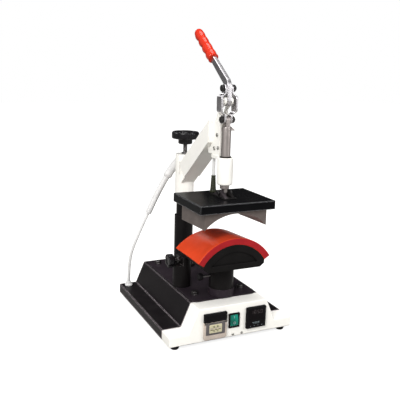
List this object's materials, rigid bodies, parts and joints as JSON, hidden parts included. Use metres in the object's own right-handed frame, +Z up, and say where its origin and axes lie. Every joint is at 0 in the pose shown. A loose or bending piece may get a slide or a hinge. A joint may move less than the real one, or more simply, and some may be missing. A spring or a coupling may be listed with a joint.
{
  "type": "cap heat press",
  "caption": "Bench press that heat-bonds prints onto caps: a toggle handle pushes an arched hot platen down onto an arched silicone form.",
  "frame": {"origin": "on the floor under the middle of the machine's outline", "axes": "+Z is up, -Y is the front with the instruments and the press, +X is the right seen from the front"},
  "size_m": [0.293, 0.34, 0.6579],
  "materials": {
    "cream_paint": "semi-gloss powder coat",
    "black_paint": "semi-gloss powder coat",
    "cast_black": "satin paint over a casting",
    "silicone_red": "smooth silicone",
    "grip_red": "glossy dipped vinyl",
    "steel": "turned and lightly oiled",
    "zinc": "zinc plated",
    "aluminium": "machined",
    "bronze": "sintered",
    "black_plastic": "moulded, fine texture",
    "grey_plastic": "moulded",
    "cream_plastic": "moulded",
    "green_plastic": "translucent moulded",
    "board": "fibre board",
    "white_rubber": "smooth sheath",
    "black_rubber": "moulded"
  },
  "bodies": {
    "base": {"base_body": "black_paint", "front_cover": "cream_paint", "chassis_pan": "black_paint", "power_inlet": "black_plastic", "feet": "black_rubber", "deck_plate": "black_paint", "deck_bolts": "zinc", "front_screws": "zinc", "temperature_controller": "black_plastic", "timer_body": "grey_plastic", "timer_hood": "black_plastic", "rocker_bezel": "black_plastic", "column_socket": "black_paint", "flange_screws": "zinc", "column_post": "black_paint", "silicone_pad": "silicone_red", "lower_form": "cast_black", "pedestal": "black_paint", "pedestal_collar": "black_paint", "side_post": "black_paint", "power_lead": "white_rubber", "lead_sleeve": "white_rubber", "ledge_gland": "white_rubber"},
    "arm": {"column_sleeve": "cream_paint", "arm_box": "cream_paint", "head_plates": "cream_paint", "handle_pin": "steel", "head_screws": "zinc", "guide_housing": "cream_paint", "guide_bush": "bronze", "wiper_ring": "black_rubber", "lead_elbow": "white_rubber"},
    "pressure_wheel": {"pressure_wheel": "black_plastic", "pressure_screw": "steel"},
    "handle": {"handle_bar": "steel", "grip": "grip_red", "link_bolt": "zinc"},
    "toggle_links": {"links": "zinc", "lower_studs": "zinc"},
    "plunger": {"plunger": "steel"},
    "hot_head": {"hot_platen": "aluminium", "heating_element": "aluminium", "insulation": "board", "head_cover": "black_paint", "cover_skirt": "black_paint", "platen_yoke": "zinc", "yoke_bolt": "zinc", "heater_boot": "black_rubber", "heater_lead": "white_rubber"},
    "rocker": {"rocker": "green_plastic"},
    "star_knob": {"star_knob": "black_plastic", "star_stud": "steel"},
    "form_knob": {"form_knob": "black_plastic"},
    "key_1": {"key_1": "grey_plastic"},
    "key_2": {"key_2": "grey_plastic"},
    "key_3": {"key_3": "grey_plastic"},
    "key_4": {"key_4": "grey_plastic"},
    "thumbwheel_1": {"thumbwheel_1": "cream_plastic"},
    "thumbwheel_2": {"thumbwheel_2": "cream_plastic"},
    "thumbwheel_3": {"thumbwheel_3": "cream_plastic"}
  },
  "joints": [
    {"name": "arm_height", "type": "slide", "parent": "base", "child": "arm", "axis": [0, 0, 1], "range_m": [0, 0.015], "deforming": ["power_lead", "lead_sleeve"]},
    {"name": "pressure_wheel_spin", "type": "hinge", "parent": "arm", "child": "pressure_wheel", "pos_m": [0, 0.108, 0.4], "axis": [0, 0, 1], "range_deg": [0, 1080]},
    {"name": "handle_swing", "type": "hinge", "parent": "arm", "child": "handle", "pos_m": [0, -0.102, 0.5065], "axis": [1, 0, 0], "range_deg": [0, 180]},
    {"name": "link_swing", "type": "hinge", "parent": "handle", "child": "toggle_links", "pos_m": [0, -0.102, 0.532], "axis": [1, 0, 0], "range_deg": [-180, 0]},
    {"name": "plunger_slide", "type": "slide", "parent": "arm", "child": "plunger", "axis": [0, 0, -1], "range_m": [0, 0.051]},
    {"name": "head_tilt", "type": "hinge", "parent": "plunger", "child": "hot_head", "pos_m": [0, -0.102, 0.3138], "axis": [1, 0, 0], "range_deg": [-2, 2]},
    {"name": "rocker_press", "type": "hinge", "parent": "base", "child": "rocker", "pos_m": [0.0015, -0.161, 0.048], "axis": [1, 0, 0], "range_deg": [0, 18]},
    {"name": "star_knob_spin", "type": "hinge", "parent": "base", "child": "star_knob", "pos_m": [-0.066, -0.025, 0.148], "axis": [-1, 0, 0], "continuous": true},
    {"name": "form_knob_spin", "type": "hinge", "parent": "base", "child": "form_knob", "pos_m": [-0.027, -0.102, 0.131], "axis": [-1, 0, 0], "continuous": true},
    {"name": "key_1_press", "type": "slide", "parent": "base", "child": "key_1", "axis": [0, 1, 0], "range_m": [0, 0.0005], "stiffness_N_per_m": 300, "springref_m": -0.0005},
    {"name": "key_2_press", "type": "slide", "parent": "base", "child": "key_2", "axis": [0, 1, 0], "range_m": [0, 0.0005], "stiffness_N_per_m": 300, "springref_m": -0.0005},
    {"name": "key_3_press", "type": "slide", "parent": "base", "child": "key_3", "axis": [0, 1, 0], "range_m": [0, 0.0005], "stiffness_N_per_m": 300, "springref_m": -0.0005},
    {"name": "key_4_press", "type": "slide", "parent": "base", "child": "key_4", "axis": [0, 1, 0], "range_m": [0, 0.0005], "stiffness_N_per_m": 300, "springref_m": -0.0005},
    {"name": "thumbwheel_1_spin", "type": "hinge", "parent": "base", "child": "thumbwheel_1", "pos_m": [-0.0526, -0.1591, 0.035], "axis": [1, 0, 0], "continuous": true},
    {"name": "thumbwheel_2_spin", "type": "hinge", "parent": "base", "child": "thumbwheel_2", "pos_m": [-0.044, -0.1591, 0.035], "axis": [1, 0, 0], "continuous": true},
    {"name": "thumbwheel_3_spin", "type": "hinge", "parent": "base", "child": "thumbwheel_3", "pos_m": [-0.0354, -0.1591, 0.035], "axis": [1, 0, 0], "continuous": true}
  ],
  "couplings": [
    {"joint": "pressure_wheel_spin", "follows": "arm_height", "rad_per_m": 1256.6},
    {"joint": "plunger_slide", "follows": "handle_swing", "m_per_rad": 0.016234},
    {"joint": "link_swing", "follows": "handle_swing", "ratio": -1}
  ]
}
